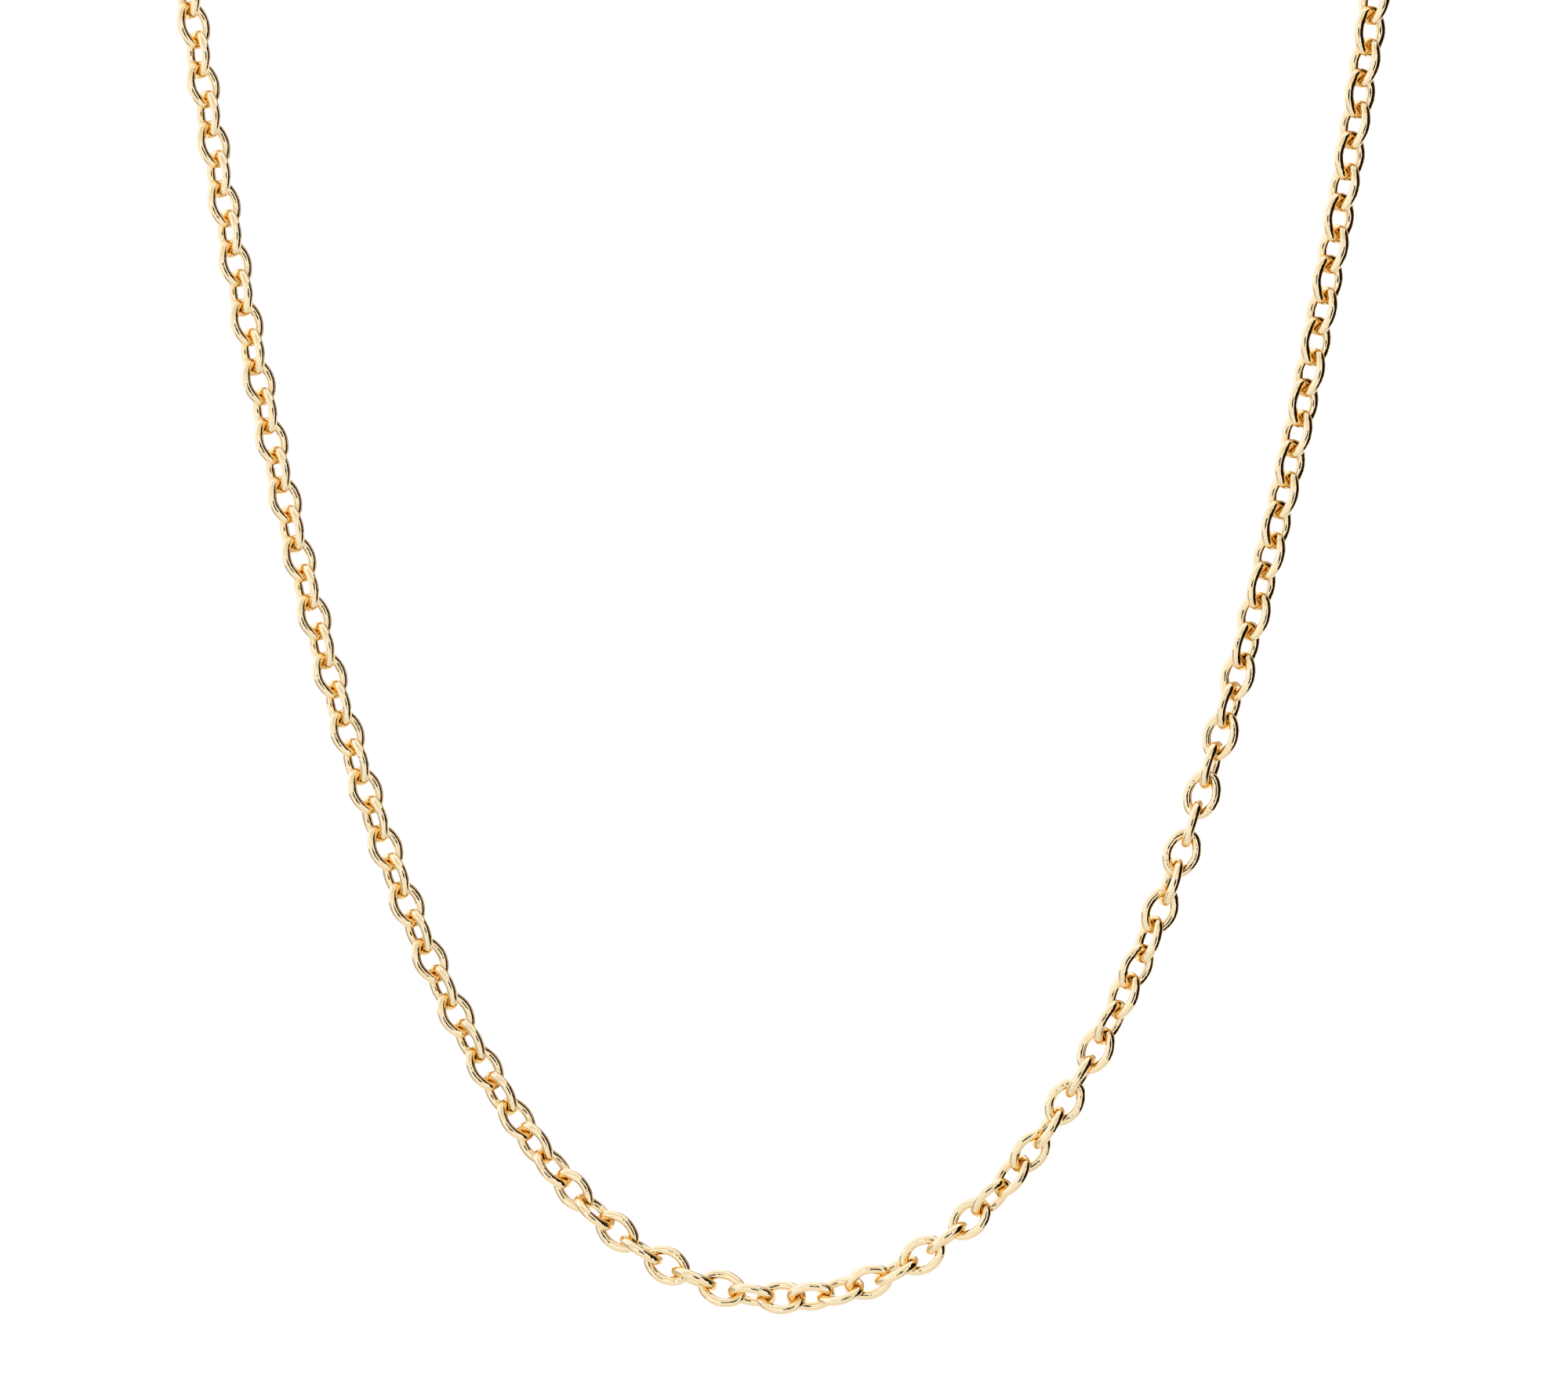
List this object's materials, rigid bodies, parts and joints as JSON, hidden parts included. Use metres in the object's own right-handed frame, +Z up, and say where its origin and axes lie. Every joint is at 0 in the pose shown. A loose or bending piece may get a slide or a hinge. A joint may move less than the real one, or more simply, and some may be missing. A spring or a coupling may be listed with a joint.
{
  "type": "rolo chain necklace",
  "caption": "Necklace of interlocking oval round-wire links in polished yellow gold, hanging in a deep U and closed behind the neck by a plain barrel clasp.",
  "frame": {"origin": "middle of the neck: the centre of the half circle that the chain makes round the nape", "axes": "+Z up, +X to the viewer's right and -Y towards the viewer, whom the hanging front faces"},
  "size_m": [0.1055, 0.085, 0.1543],
  "materials": {
    "gold": "polished yellow gold"
  },
  "bodies": {
    "root": {"left_chain": "gold", "right_chain": "gold", "clasp": "gold"}
  },
  "joints": []
}
